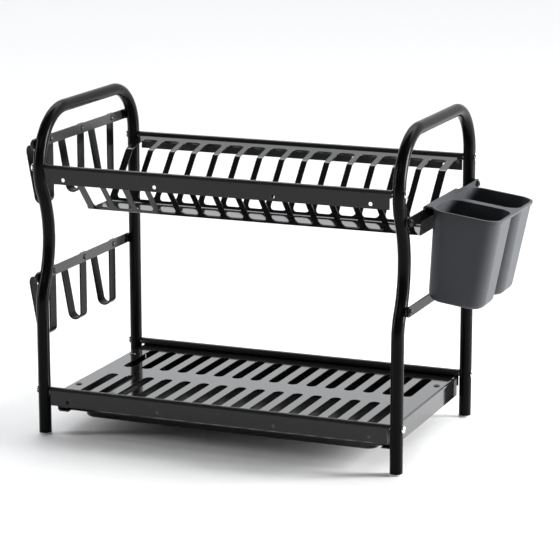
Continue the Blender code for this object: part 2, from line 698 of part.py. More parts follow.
# ---------------------------------------------------------------- utensil cup
def bucket_outline(depth, side, inset=0.0):
    """Outline of one bucket at a depth below the rim; each wall leans in as it goes down."""
    lean = depth * math.tan(CUP_DRAFT) + inset
    near = CUP_SPLIT / 2 + depth * math.tan(CUP_INNER_DRAFT) + inset
    y0, y1 = sorted((side * near, side * (CUP_LENGTH / 2 - lean)))
    return rounded_rectangle(lean, CUP_WIDTH - lean, y0, y1, CUP_CORNER_R - inset, 4)


def bucket(bm, side, top, bottom, inset):
    """Closed body of one bucket with its bottom edge rounded off."""
    foot = CUP_FOOT_R - inset
    stages = [(top, 0.0)]
    stages += [(bottom - foot * (1 - math.sin(a)), foot * (1 - math.cos(a)))
               for a in (0.0, math.radians(40), math.radians(75))]
    loft(bm, [[(x, y, -depth) for x, y in bucket_outline(depth, side, inset + pull)]
              for depth, pull in stages])


def utensil_cup(mat):
    """Two buckets joined by one rim in a single moulding, with a ledge that hooks over the bar."""
    rim_x = BAR_OUT + CUP_OFF_BAR
    rest_z = RIGHT_UPPER_BAR_Z + BAR_HEIGHT / 2 + FIT
    rim_z = rest_z + LEDGE_T + FIT - CUP_OFF_BAR * math.sin(CUP_TILT)
    place = Matrix.Translation((rim_x, CUP_SHIFT, rim_z)) @ Matrix.Rotation(CUP_TILT, 4, "Y")

    def put(bm):
        bmesh.ops.transform(bm, matrix=place, verts=bm.verts)
        return bm

    band = CUP_BAND_OUT
    half = CUP_LENGTH / 2 + band
    bm = bmesh.new()
    prism(bm, rounded_rectangle(-band, CUP_WIDTH + band, -half, half, CUP_CORNER_R + band, 5),
          "z", -CUP_BAND, 0.0)
    cup = add_object("utensil_cup", put(bm), mat)

    bodies = bmesh.new()
    for _, side in SIDES:
        bucket(bodies, side, CUP_BAND / 2, CUP_HEIGHT, 0.0)
    cut(cup, add_object("utensil_cup_buckets", put(bodies), None), "UNION")

    clip = bmesh.new()
    mid = -LEDGE_T / 2 - FIT
    points = [(CUP_WALL * 0.5, mid), (-LEDGE_REACH, mid), (-LEDGE_REACH, mid - HOOK_LIP)]
    outline = ribbon(rounded_path(points, [0.0022]), LEDGE_T)
    prism(clip, outline, "y", -LEDGE_FRONT - CUP_SHIFT, LEDGE_REAR - CUP_SHIFT)
    cut(cup, add_object("utensil_cup_ledge", put(clip), None), "UNION")

    pockets = bmesh.new()
    for _, side in SIDES:
        bucket(pockets, side, -CUP_WALL, CUP_HEIGHT - CUP_FLOOR, CUP_WALL)
    cut(cup, add_object("utensil_cup_pockets", put(pockets), None))

    drains = bmesh.new()
    for _, side in SIDES:
        for dx in (-1, 1):
            for dy in (-1, 1):
                centre = (CUP_WIDTH / 2 + dx * DRAIN_PITCH / 2,
                          side * CUP_LENGTH * 0.25 + dy * DRAIN_PITCH / 2)
                hole = circle(DRAIN_HOLE_R, 8, centre)
                prism(drains, hole, "z", -CUP_HEIGHT - CUP_FLOOR, -CUP_HEIGHT + 2 * CUP_FLOOR)
    cut(cup, add_object("utensil_cup_drains", put(drains), None))


# ---------------------------------------------------------------- the whole rack
def centre_over_origin():
    """Slides everything along X until the origin lies under the middle of the whole rack."""
    bpy.context.view_layer.update()
    graph = bpy.context.evaluated_depsgraph_get()
    ends = []
    for obj in bpy.data.objects:
        if not obj.hide_render:
            ends += [corner[0] for corner in obj.evaluated_get(graph).bound_box]
    shift = (min(ends) + max(ends)) / 2
    for obj in bpy.data.objects:
        obj.location.x -= shift


def main():
    clear_scene()
    black_coat = finish("black_powder_coat", (0.012, 0.012, 0.013), 0.35)
    gloss_coat = finish("black_gloss_coat", (0.014, 0.014, 0.015), 0.22)
    bright_steel = finish("bright_steel", (0.75, 0.75, 0.76), 0.2, metallic=1.0)
    black_steel = finish("blackened_steel", (0.02, 0.02, 0.02), 0.35, metallic=0.6)
    grey_plastic = finish("dark_grey_plastic", (0.055, 0.057, 0.060), 0.5)
    black_plastic = finish("black_plastic", (0.022, 0.022, 0.023), 0.4)
    foot_plastic = finish("clear_grey_plastic", (0.55, 0.55, 0.55), 0.45)

    for word, side in SIDES:
        side_tube(word + "_side_tube", side, black_coat)
        foot_cap("foot_cap_front_" + word, side, False, foot_plastic)
        foot_cap("foot_cap_rear_" + word, side, True, foot_plastic)
        tray_runner("tray_runner_" + word, side, black_plastic)
        for name, height in bar_places(side):
            flat_bar(name, height, side, black_coat)
    for place, facing in (("front", -1), ("rear", 1)):
        rail(f"upper_{place}_rail", UPPER_RAIL_Z, facing, black_coat)
        rail(f"lower_{place}_rail", LOWER_RAIL_Z, facing, black_coat)
    frame_bolts(bright_steel)
    plate_rack(gloss_coat)
    drain_board(gloss_coat)
    board_screws(black_steel)
    drip_tray(black_plastic)
    bar_fixings(black_steel, black_plastic)
    for level, bar_z in (("upper", LEFT_UPPER_BAR_Z), ("lower", LOWER_BAR_Z)):
        for place, y in zip(("front", "middle", "rear"), hook_centres()):
            wall_hook(f"{level}_hook_{place}", bar_z, y, black_coat)
            hook_rivet(f"{level}_hook_rivet_{place}", bar_z, y, black_steel)
    utensil_cup(grey_plastic)
    centre_over_origin()


main()
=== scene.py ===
import math

import bmesh
import bpy
import numpy as np
from mathutils import Matrix, Vector


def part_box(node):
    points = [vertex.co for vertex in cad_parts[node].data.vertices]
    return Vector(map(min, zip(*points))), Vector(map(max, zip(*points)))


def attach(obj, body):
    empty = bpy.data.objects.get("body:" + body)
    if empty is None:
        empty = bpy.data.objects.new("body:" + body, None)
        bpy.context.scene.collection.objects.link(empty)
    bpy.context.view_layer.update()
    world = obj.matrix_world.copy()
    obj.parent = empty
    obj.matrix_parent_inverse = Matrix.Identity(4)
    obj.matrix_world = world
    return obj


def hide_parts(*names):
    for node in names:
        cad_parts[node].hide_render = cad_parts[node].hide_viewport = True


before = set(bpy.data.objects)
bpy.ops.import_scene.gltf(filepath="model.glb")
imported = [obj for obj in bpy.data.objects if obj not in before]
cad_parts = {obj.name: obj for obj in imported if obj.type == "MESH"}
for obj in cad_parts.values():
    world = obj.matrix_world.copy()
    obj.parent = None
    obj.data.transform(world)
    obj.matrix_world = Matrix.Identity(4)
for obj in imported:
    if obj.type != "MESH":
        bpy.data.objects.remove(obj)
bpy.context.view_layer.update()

print("frame loaded:", len(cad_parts), "nodes")

tubeBox = {name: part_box(name) for name in ("left_side_tube", "right_side_tube")}
midX = sum(corner[0] for box in tubeBox.values() for corner in box) / 4  # middle between the side frames
common = {"gap": 0.0003, "sheet": 0.0012, "legX": 0.238, "legY": 0.1375,
          "upperRail": 0.346, "lowerRail": 0.058}
sides = (("left", -1), ("right", 1))


class Wire:  # a shader socket that can be added, multiplied and so on
    def __init__(self, tree, socket=None):
        self.tree, self.socket = tree, socket

    def add(self, kind, settings=None, inputs=None, out=0):  # any node, its settings first, then its sockets
        node = self.tree.nodes.new("ShaderNode" + kind)
        for key, value in (settings or {}).items():
            setattr(node, key, value)
        for key, value in (inputs or {}).items():
            if isinstance(value, Wire):
                self.tree.links.new(value.socket, node.inputs[key])
            else:
                node.inputs[key].default_value = value
        return Wire(self.tree, node.outputs[out])

    def math(self, operation, first, second):
        return self.add("Math", {"operation": operation}, {0: first, 1: second})

    def __add__(self, other):
        return self.math("ADD", self, other)

    def __sub__(self, other):
        return self.math("SUBTRACT", self, other)

    def __rsub__(self, other):
        return self.math("SUBTRACT", other, self)

    def __mul__(self, other):
        return self.math("MULTIPLY", self, other)

    def __gt__(self, other):
        return self.math("GREATER_THAN", self, other)

    __radd__, __rmul__ = __add__, __mul__


def finish(name, dark, light, rough, spread, grain, depth, metallic=0.0, ior=1.5, shine=0.5, speck=0.0):
    # colour and roughness drift over some centimetres; two sizes of grain give the bump
    material = bpy.data.materials.new(name)
    material.use_nodes = True
    tree = material.node_tree
    shader = tree.nodes["Principled BSDF"]
    shader.inputs["Metallic"].default_value = metallic
    shader.inputs["IOR"].default_value = ior
    shader.inputs["Specular IOR Level"].default_value = shine
    start = Wire(tree)
    place = start.add("TexCoord", out=3)
    drift = start.add("TexNoise", inputs={"Vector": place, "Scale": 22.0, "Detail": 4.0})
    coarse = start.add("TexNoise", inputs={"Vector": place, "Scale": 1 / grain, "Detail": 2.0})
    fine = start.add("TexNoise", inputs={"Vector": place, "Scale": 3.1 / grain, "Detail": 1.0})
    dots = start.add("TexVoronoi", inputs={"Vector": place, "Scale": 420.0})
    mark = (0.11 - dots > 0.0) * (drift > 0.56)
    tint = start.add("Mix", {"data_type": "RGBA"}, {0: drift, 6: (*dark, 1), 7: (*light, 1)}, out=2)
    pale = tuple(min(1.0, c + speck) for c in light)
    tint = start.add("Mix", {"data_type": "RGBA"}, {0: mark, 6: tint, 7: (*pale, 1)}, out=2)
    wear = (drift - 0.5) * spread + (fine - 0.5) * (spread * 0.5) + rough
    bump = start.add("Bump", inputs={"Height": coarse + fine * 0.4, "Strength": 1.0, "Distance": depth})
    tree.links.new(tint.socket, shader.inputs["Base Color"])
    tree.links.new(wear.socket, shader.inputs["Roughness"])
    tree.links.new(bump.socket, shader.inputs["Normal"])
    return material


finishes = {
    "tubeBlack": {"dark": (0.0022, 0.0022, 0.0024), "light": (0.0036, 0.0036, 0.0039),
        "rough": 0.20, "spread": 0.06, "grain": 0.0011, "depth": 0.000015, "shine": 0.06, "speck": 0.006},
    # powder finish: a little rougher than the tubes' coat, and its base colour is several times lighter than
    # theirs, painted sheen for the reflections the flat rail faces catch
    "powderBlackPaintedSheen": {"dark": (0.014, 0.014, 0.0148), "light": (0.018, 0.018, 0.019),
        "rough": 0.26, "spread": 0.08, "grain": 0.0011, "depth": 0.00003, "shine": 0.30, "speck": 0.012},
    "glossBlack": {"dark": (0.005, 0.005, 0.0055), "light": (0.008, 0.008, 0.0085),
        "rough": 0.09, "spread": 0.04, "grain": 0.0030, "depth": 0.000008, "ior": 1.95, "speck": 0.01},
    "ribBlack": {"dark": (0.004, 0.004, 0.0045), "light": (0.007, 0.007, 0.0075),
        "rough": 0.10, "spread": 0.04, "grain": 0.0030, "depth": 0.000008, "ior": 1.52, "speck": 0.01},
    "trayPlastic": {"dark": (0.01, 0.01, 0.0104), "light": (0.014, 0.014, 0.0145),
        "rough": 0.24, "spread": 0.06, "grain": 0.0008, "depth": 0.00002, "shine": 0.18, "speck": 0.006},
    "brightSteel": {"dark": (0.66, 0.66, 0.68), "light": (0.78, 0.78, 0.79),
        "rough": 0.20, "spread": 0.10, "grain": 0.0006, "depth": 0.00001, "metallic": 1.0},
    "darkSteel": {"dark": (0.006, 0.006, 0.0065), "light": (0.011, 0.011, 0.0115),
        "rough": 0.26, "spread": 0.10, "grain": 0.0007, "depth": 0.00001, "shine": 0.4},
    "greyPlastic": {"dark": (0.040, 0.0425, 0.047), "light": (0.047, 0.0495, 0.0545),
        "rough": 0.40, "spread": 0.06, "grain": 0.0007, "depth": 0.000016, "shine": 0.14, "speck": 0.008},
    "blackPlastic": {"dark": (0.016, 0.016, 0.0165), "light": (0.024, 0.024, 0.0245),
        "rough": 0.34, "spread": 0.08, "grain": 0.0008, "depth": 0.00002, "shine": 0.35, "speck": 0.008},
    "footPlastic": {"dark": (0.48, 0.49, 0.50), "light": (0.58, 0.58, 0.59),
        "rough": 0.40, "spread": 0.08, "grain": 0.0012, "depth": 0.00001},
}
(tubeBlack, powderBlackPaintedSheen, glossBlack, ribBlack, trayPlastic,
 brightSteel, darkSteel, greyPlastic, blackPlastic, footPlastic) = [
     finish(name, **look) for name, look in finishes.items()]
print("finishes made")


def quads(rows, columns, wrapRows=False):  # faces of a grid whose columns close on themselves
    r = np.arange(rows if wrapRows else rows - 1)[:, None]
    c = np.arange(columns)[None, :]
    r2, c2 = (r + 1) % rows, (c + 1) % columns
    corners = [r * columns + c, r * columns + c2, r2 * columns + c2, r2 * columns + c]
    return np.stack(np.broadcast_arrays(*corners), axis=-1).reshape(-1, 4)


def solid(name, rings, wrapRows=False):  # a skin over rings of points, its ends closed
    rows, columns = rings.shape[:2]
    faces = quads(rows, columns, wrapRows).tolist()
    if not wrapRows:
        faces += [list(range(columns))[::-1], list(range((rows - 1) * columns, rows * columns))]
    mesh = bpy.data.meshes.new(name)
    mesh.from_pydata(rings.reshape(-1, 3).tolist(), [], faces)
    obj = bpy.data.objects.new(name, mesh)
    bpy.context.collection.objects.link(obj)
    faceOut(mesh)
    return obj


def faceOut(mesh):
    shape = bmesh.new()
    shape.from_mesh(mesh)
    bmesh.ops.recalc_face_normals(shape, faces=shape.faces)
    if shape.calc_volume(signed=True) < 0:
        bmesh.ops.reverse_faces(shape, faces=shape.faces)
    shape.to_mesh(mesh)
    shape.free()


def prism(name, outline, along, start, end):
    # an outline of two coordinates, pushed along the third axis
    flat = np.asarray(outline, float)
    rings = np.empty((2, len(flat), 3))
    others = [i for i in range(3) if i != "xyz".index(along)]
    rings[:, :, others] = flat[None]
    rings[:, :, "xyz".index(along)] = np.array([start, end])[:, None]
    return solid(name, rings)


def turned(name, profile, centre, along):  # rings of each radius at each distance along the axis
    distance, radius = np.asarray(profile, float).T
    turn = np.linspace(0, 2 * np.pi, turnedSteps, endpoint=False)
    u, v = radius[:, None] * np.cos(turn), radius[:, None] * np.sin(turn)
    d = np.broadcast_to(distance[:, None], u.shape)
    parts = {"x": (d, u, v), "z": (u, v, d)}[along]
    return solid(name, np.stack(parts, axis=-1) + np.asarray(centre, float))


turnedSteps = 32


def bake(obj):  # modifiers become the mesh
    graph = bpy.context.evaluated_depsgraph_get()
    mesh = bpy.data.meshes.new_from_object(obj.evaluated_get(graph))
    obj.modifiers.clear()
    obj.data = mesh


def combine(obj, tools, operation="DIFFERENCE"):
    for tool in tools:
        cut = obj.modifiers.new("cut", "BOOLEAN")
        cut.operation, cut.object = operation, tool
    bake(obj)
    for tool in tools:
        bpy.data.objects.remove(tool, do_unlink=True)
    return obj


def merged(name, pieces):  # several solids in one object, as one cutting tool
    shape = bmesh.new()
    for piece in pieces:
        shape.from_mesh(piece.data)
        bpy.data.objects.remove(piece, do_unlink=True)
    mesh = bpy.data.meshes.new(name)
    shape.to_mesh(mesh)
    shape.free()
    obj = bpy.data.objects.new(name, mesh)
    bpy.context.collection.objects.link(obj)
    return obj


def soften(obj, width, segments=2, angle=40):  # a small round on each sharp edge
    bevel = obj.modifiers.new("soften", "BEVEL")
    bevel.width, bevel.segments = width, segments
    bevel.limit_method, bevel.angle_limit = "ANGLE", math.radians(angle)
    bevel.harden_normals = False
    bake(obj)
    return obj


def use(obj, material, body="frame", nodes=(), sharp=32):
    obj.data.materials.clear()
    obj.data.materials.append(material)
    obj.data.shade_smooth()
    obj.data.set_sharp_from_angle(angle=math.radians(sharp))
    # large flat faces stay flat beside their small rounds
    weigh = obj.modifiers.new("weigh", "WEIGHTED_NORMAL")
    weigh.keep_sharp, weigh.weight = True, 80
    bake(obj)
    # sizes here are counted from the middle of the frames
    obj.data.transform(Matrix.Translation((midX, 0, 0)))
    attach(obj, body)
    if nodes:
        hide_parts(*nodes)
    return obj


def arc(centre, radius, first, last, step=3.0):  # centre + radius * (cos, sin) over evenly spaced angles
    count = max(3, int(abs(last - first) / step) + 1)
    angle = np.radians(np.linspace(first, last, count))
    return np.asarray(centre) + radius * np.stack([np.cos(angle), np.sin(angle)], axis=-1)


def roundedPath(points, radii, step=4.0):  # straight runs joined by arcs tangent to both
    points = np.asarray(points, float)
    out = [points[:1]]
    for before, corner, after, radius in zip(points, points[1:], points[2:], radii):
        into, away = corner - before, after - corner
        into, away = into / np.linalg.norm(into), away / np.linalg.norm(away)
        cross = into[0] * away[1] - into[1] * away[0]
        turn, side = math.acos(np.clip(into @ away, -1, 1)), 1 if cross > 0 else -1
        start = corner - into * radius * math.tan(turn / 2)
        centre = start + np.array([-into[1], into[0]]) * side * radius
        first = math.degrees(math.atan2(*(start - centre)[::-1]))
        out.append(arc(centre, radius, first, first + side * math.degrees(turn), step))
    return np.concatenate(out + [points[-1:]])


def ribbon(path, thickness):  # path offset by half a thickness to both sides
    steps = np.diff(path, axis=0)
    steps /= np.linalg.norm(steps, axis=1)[:, None]
    into, away = np.concatenate([steps[:1], steps]), np.concatenate([steps, steps[-1:]])
    middle = into + away
    middle /= np.linalg.norm(middle, axis=1)[:, None]
    reach = thickness / 2 / np.maximum((middle * away).sum(1), 0.5)
    normal = np.stack([-middle[:, 1], middle[:, 0]], axis=-1) * reach[:, None]
    return np.concatenate([path + normal, (path - normal)[::-1]])


def roundedBox(x0, x1, y0, y1, radius, step=9.0):  # four quarter circles joined by the sides
    return np.concatenate([arc((x1 - radius, y1 - radius), radius, 0, 90, step),
                           arc((x0 + radius, y1 - radius), radius, 90, 180, step),
                           arc((x0 + radius, y0 + radius), radius, 180, 270, step),
                           arc((x1 - radius, y0 + radius), radius, 270, 360, step)])


# side frames
tube = {"radius": 0.008, "wall": 0.0012, "top": 0.415, "frontCorner": 0.070, "rearCorner": 0.062,
        "waist": 0.2555, "waistDepth": 0.0215, "waistR": 0.123, "blendR": 0.063, "foot": 0.0023}


def framePath():  # straight legs, an S of three arcs in front, a handle on top
    t, y = tube, common["legY"]
    turn = math.acos(1 - t["waistDepth"] / (t["waistR"] + t["blendR"]))
    half, spin = (t["waistR"] + t["blendR"]) * math.sin(turn), math.degrees(turn)
    legs = [[[-y, t["foot"]], [-y, 0.04], [-y, 0.09]],
            arc((t["blendR"] - y, t["waist"] - half), t["blendR"], 180, 180 - spin),
            arc((t["waistDepth"] - t["waistR"] - y, t["waist"]), t["waistR"], -spin, spin)[1:],
            arc((t["blendR"] - y, t["waist"] + half), t["blendR"], 180 + spin, 180)[1:],
            arc((t["frontCorner"] - y, t["top"] - t["frontCorner"]), t["frontCorner"], 180, 90),
            arc((y - t["rearCorner"], t["top"] - t["rearCorner"]), t["rearCorner"], 90, 0),
            [[y, 0.2], [y, 0.09], [y, t["foot"]]]]
    return np.concatenate([np.asarray(part, float) for part in legs])


def legY(height, rear=False):
    path = framePath()
    top = path[:, 1].argmax()
    leg = path[top:][::-1] if rear else path[:top + 1]
    return float(np.interp(height, leg[:, 1], leg[:, 0]))


def sideTube(name, side):  # circles across the path, the inner wall run back the other way
    path = framePath()
    run = np.gradient(path, axis=0)
    run /= np.linalg.norm(run, axis=1)[:, None]
    turn = np.linspace(0, 2 * np.pi, 40, endpoint=False)
    skins = []
    for radius in (tube["radius"], tube["radius"] - tube["wall"]):
        across, out = radius * np.cos(turn), radius * np.sin(turn)
        skin = np.empty((len(path), len(turn), 3))
        skin[:, :, 0] = side * common["legX"] + across
        skin[:, :, 1] = path[:, :1] - run[:, 1:] * out
        skin[:, :, 2] = path[:, 1:] + run[:, :1] * out
        skins.append(skin)
    rings = np.concatenate([skins[0], skins[1][::-1]])
    return use(solid(name, rings, wrapRows=True), tubeBlack, nodes=[name + "_side_tube"])


def footCap(name, side, facing):
    disc, plug = tube["radius"] + 0.0002, tube["radius"] - tube["wall"] - 0.0003
    profile = [(0.0, disc - 0.0012), (0.0003, disc - 0.0004), (0.0009, disc), (0.0016, disc),
               (0.002, disc - 0.0003), (0.002, plug), (0.0115, plug), (0.012, plug - 0.0006)]
    cap = turned(name, profile, (side * common["legX"], facing * common["legY"], 0), "z")
    use(cap, footPlastic, nodes=[name])


for word, side in sides:
    sideTube(word, side)
    footCap(f"foot_cap_front_{word}", side, -1)
    footCap(f"foot_cap_rear_{word}", side, 1)
print("side frames done")

# rails
rail = {"bead": 0.0045, "height": 0.0233, "endGap": 0.0025, "holeR": 0.0025, "holeDrop": 0.0131,
        "holeX": (0.2035, 0.0785)}


def railBar(name, height, facing):  # a flange that rises and curls into a bead
    middle = rail["bead"] - common["sheet"] / 2
    curl = np.concatenate([[[middle, rail["bead"] - rail["height"]]], arc((0, 0), middle, 0, 305, 7)])
    outline = ribbon(curl, common["sheet"])
    outline = np.stack([facing * (common["legY"] + outline[:, 0]), height + outline[:, 1]], axis=-1)
    reach = common["legX"] - tube["radius"] - common["gap"]
    bar = prism(name, outline, "x", -reach, reach)
    face = facing * (common["legY"] + rail["bead"])
    y0, y1 = sorted((face + facing * 0.001, face - facing * 0.0036))
    tools = []
    for side in (-1, 1):
        for x in rail["holeX"]:
            hole = arc((side * x, height - rail["holeDrop"]), rail["holeR"], 0, 345, 15)
            tools.append(prism("hole", hole, "y", y0, y1))
        end = common["legX"] - tube["radius"] - rail["endGap"]
        low, high = height + rail["bead"] - rail["height"] - 0.001, height - rail["bead"] - 0.0003
        gap = [(side * end, low), (side * (end + 0.02), low), (side * (end + 0.02), high), (side * end, high)]
        tools.append(prism("gap", gap, "y", y0, y1))
    combine(bar, [merged("tools", tools)])
    soften(bar, 0.0003)
    # the rails take the powder finish, whose lighter base colour is painted sheen
    use(bar, powderBlackPaintedSheen, nodes=[name])


for word, facing in (("front", -1), ("rear", 1)):
    railBar(f"upper_{word}_rail", common["upperRail"], facing)
    railBar(f"lower_{word}_rail", common["lowerRail"], facing)
print("rails done")

# plate rack
rack = {"half": 0.225, "baseHalf": 0.029, "bendY": 0.0845, "slope": 47.5, "shoulder": 12.0,
        "edgeDrop": 0.0006, "flap": 0.004, "rib": 0.008, "endRib": 0.010, "pitch": 0.03127, "endInset": 0.001,
        "windowLow": 0.0033, "windowHigh": 0.0134, "windowR": 0.0055}


def plateRack():
    t, bead, gap = common["sheet"], rail["bead"], common["gap"]
    edgeY = common["legY"] - bead - 2 * gap
    edge = common["upperRail"] - rack["edgeDrop"]
    bend = edge - (edgeY - t / 2 - rack["bendY"]) * math.tan(math.radians(rack["shoulder"]))
    base = bend - (rack["bendY"] - rack["baseHalf"]) * math.tan(math.radians(rack["slope"]))
    seat, flapY = common["upperRail"] - bead - gap - t / 2, common["legY"] + bead - t - gap - t / 2
    half = [(rack["baseHalf"], base), (rack["bendY"], bend), (edgeY - t / 2, edge), (edgeY - t / 2, seat),
            (flapY, seat), (flapY, seat - t / 2 - rack["flap"])]
    bends = [0.004, 0.010, 0.0014, 0.0012, 0.0012]
    path = roundedPath([(-y, z) for y, z in half[::-1]] + half, bends[::-1] + bends, 5.0)
    sheet = prism("plateRack", ribbon(path, t), "x", -rack["half"], rack["half"])
    end = rack["half"] - rack["endInset"] - rack["endRib"] / 2
    centres = np.concatenate([[-end], np.arange(-6, 7) * rack["pitch"], [end]])
    widths = np.full(15, rack["rib"])
    widths[[0, -1]] = rack["endRib"]
    near, far = rack["baseHalf"] + rack["windowLow"], edgeY - rack["windowHigh"]
    low, high = base - 0.002, edge + 0.01  # the cutting tools stand out past the sheet
    tools = []
    for facing in (-1, 1):
        y0, y1 = sorted((facing * near, facing * far))
        for i in range(14):
            x0, x1 = centres[i] + widths[i] / 2, centres[i + 1] - widths[i + 1] / 2
            tools.append(prism("window", roundedBox(x0, x1, y0, y1, rack["windowR"]), "z", low, high))
        for side in (-1, 1):
            x0, x1 = sorted((side * (rack["half"] - rack["endInset"]), side * (rack["half"] + 0.01)))
            tools.append(prism("end", [(x0, y0), (x1, y0), (x1, y1), (x0, y1)], "z", low, high))
    combine(sheet, [merged("tools", tools)])
    soften(sheet, 0.00028)
    use(sheet, ribBlack, nodes=["plate_rack"])


plateRack()
print("plate rack done")

# drain board
board = {"endGap": 0.0025, "skirt": 0.025, "skirtHalf": 0.122, "lip": 0.0055, "fold": 0.0022, "slot": 0.014,
         "pitch": 0.0261, "count": 8, "spine": 0.018, "slotEnd": 0.110, "dimpleR": 0.007, "dimple": 0.0006}
boardTop = common["lowerRail"] - rail["bead"] - common["gap"]
boardHalf = common["legX"] - tube["radius"] - board["endGap"]
boardEdge = common["legY"] + rail["bead"] - common["sheet"] - common["gap"]
runnerIn = boardHalf - common["sheet"] - common["gap"] - 0.013
screwSpots = [(side * (runnerIn + 0.0039), facing * board["skirtHalf"] * 0.67, f"{end}_{word}")
              for word, side in sides for end, facing in (("front", -1), ("rear", 1))]


def drainBoard():
    t = common["sheet"]
    top, wall, low = boardTop - t / 2, boardHalf - t / 2, boardTop - board["skirt"]
    path = roundedPath([(-wall, low), (-wall, top), (wall, top), (wall, low)], [board["fold"]] * 2, 9.0)
    sheet = prism("drainBoard", ribbon(path, t), "y", -boardEdge, boardEdge)
    corner = 0.003
    lips = []
    for facing in (-1, 1):
        y0, y1 = sorted((facing * boardEdge, facing * (boardEdge - t)))
        edge = boardTop - (board["lip"] if facing < 0 else board["skirt"])
        section = [(y0, edge), (y1, edge), (y1, top), (y0, top)]
        lips.append(prism("lip", section, "x", corner - boardHalf, boardHalf - corner))
    combine(sheet, [merged("lips", lips)], "UNION")
    tools = []
    for k in range(board["count"]):
        for side in (-1, 1):
            x = side * (k + 0.5) * board["pitch"]
            for facing in (-1, 1):
                y0, y1 = sorted((facing * board["spine"], facing * board["slotEnd"]))
                half = board["slot"] / 2
                slotShape = roundedBox(x - half, x + half, y0, y1, board["slot"] * 0.49)
                tools.append(prism("slot", slotShape, "z", boardTop - 0.003, boardTop + 0.003))
    for side in (-1, 1):
        for facing in (-1, 1):
            x0, x1 = sorted((side * (boardHalf - corner), side * (boardHalf + 0.001)))
            y0, y1 = sorted((facing * board["skirtHalf"], facing * (boardEdge + 0.001)))
            outline = [(x0, y0), (x1, y0), (x1, y1), (x0, y1)]
            tools.append(prism("corner", outline, "z", low - 0.001, boardTop + 0.001))
    for x, y, _ in screwSpots:
        cone = [(-board["dimple"], 0.0044), (0.0, board["dimpleR"]), (0.001, board["dimpleR"] + 0.001)]
        tools.append(turned("dimple", cone, (x, y, boardTop), "z"))
    combine(sheet, [merged("tools", tools)])
    soften(sheet, 0.00028)
    use(sheet, glossBlack, nodes=["drain_board"])


drainBoard()
print("drain board done")

# drip tray
tray = {"rimX": 0.222, "rimY": 0.12805, "bodyX": 0.204, "bodyY": 0.11905, "shift": 0.01005,
        "rimTop": 0.0298, "rim": 0.0015, "depth": 0.013, "wall": 0.0016, "draft": 0.0045, "corner": 0.015,
        "round": 0.004, "rimCorner": 0.010, "edge": 0.0004}


def dripTray():  # rings of rounded rectangles, in from the pan to the rim and round
    t, top = tray, tray["rimTop"]
    floor = top - t["depth"]

    def ring(x, y, z, radius):
        outline = roundedBox(-x, x, -y, y, radius, 6.0)
        return np.column_stack([outline + (0, t["shift"]), np.full(len(outline), z)])

    def body(inset, z, radius):
        return ring(t["bodyX"] - inset, t["bodyY"] - inset, z, radius)

    lean, wall, corner = t["draft"], t["wall"], t["corner"]
    bend, edge, rimCorner = t["round"], t["edge"], t["rimCorner"]
    x, y, under = t["rimX"], t["rimY"], top - t["rim"]
    rings = [body(wall + lean + bend * (1 - math.sin(a)), floor + wall + bend * (1 - math.cos(a)), corner - bend)
             for a in np.radians([0, 30, 60, 90])]
    rings += [body(wall + 0.0008, top - 0.0012, corner - 0.001), body(wall, top - 0.0003, corner),
              body(wall - 0.0008, top, corner)]
    rings += [ring(x - edge, y - edge, top, rimCorner), ring(x, y, top - edge, rimCorner),
              ring(x, y, under + edge, rimCorner), ring(x - edge, y - edge, under, rimCorner)]
    rings += [body(0.0, under, corner), body(lean * 0.9, floor + bend, corner)]
    rings += [body(lean + bend * (1 - math.cos(a)), floor + bend * (1 - math.sin(a)), corner - 0.003)
              for a in np.radians([10, 40, 65, 90])]
    pan = solid("dripTray", np.stack(rings))
    use(pan, trayPlastic, body="tray", nodes=["drip_tray"])


dripTray()
for word, _ in sides:
    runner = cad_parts["tray_runner_" + word]
    runner.data.materials.clear()
    runner.data.materials.append(blackPlastic)
print("tray done")

# flat bars, their screws and washers
bar = {"thick": 0.002, "height": 0.013, "spacer": 0.0014, "leftUpper": 0.374, "rightUpper": 0.3115,
       "lower": 0.202}
barIn = common["legX"] + tube["radius"] + 2 * common["gap"] + bar["spacer"]
barOut = barIn + bar["thick"]
barRows = (("left_upper_hook_bar", -1, bar["leftUpper"], "upper"),
           ("left_lower_hook_bar", -1, bar["lower"], "lower"),
           ("right_upper_bar", 1, bar["rightUpper"], "upper"),
           ("right_lower_bar", 1, bar["lower"], "lower"))


def flatBar(name, side, height, level):
    front, rear, half = legY(height), legY(height, True), bar["height"] / 2
    outline = np.concatenate([arc((rear, height), half, -90, 90, 9), arc((front, height), half, 90, 270, 9)])
    piece = prism(name, outline, "x", *sorted((side * barIn, side * barOut)))
    soften(piece, 0.0004)
    # left bars take the powder finish with its painted sheen in the base colour, right bars the darker tube
    # finish
    use(piece, powderBlackPaintedSheen if side < 0 else tubeBlack, nodes=[name])
    word = "left" if side < 0 else "right"
    for end, y in (("front", front), ("rear", rear)):
        place = f"{level}_{end}_{word}"
        head = [(0.0011, 0.0012), (0.0013, 0.0016), (0.0021, 0.0018), (0.0025, 0.0022), (0.0024, 0.0030),
                (0.0017, 0.0038), (0.0009, 0.0042), (0.0003, 0.0042), (0.0003, 0.002), (-0.0097, 0.002)]
        screw = turned("barScrew_" + place, [(side * d, r) for d, r in head], (side * barOut, y, height), "x")
        use(screw, darkSteel, nodes=["bar_screw_" + place])
        x = side * (common["legX"] + tube["radius"] + common["gap"])
        t = bar["spacer"]
        ring = [(0.0, 0.0023), (0.0, half - 0.0003), (0.0002, half), (t - 0.0002, half),
                (t, half - 0.0003), (t, 0.0023)]
        rings = circleRings([(side * d, r) for d, r in ring], (x, y, height))
        washer = solid("washer_" + place, rings, wrapRows=True)
        use(washer, blackPlastic, nodes=["bar_spacer_" + place])


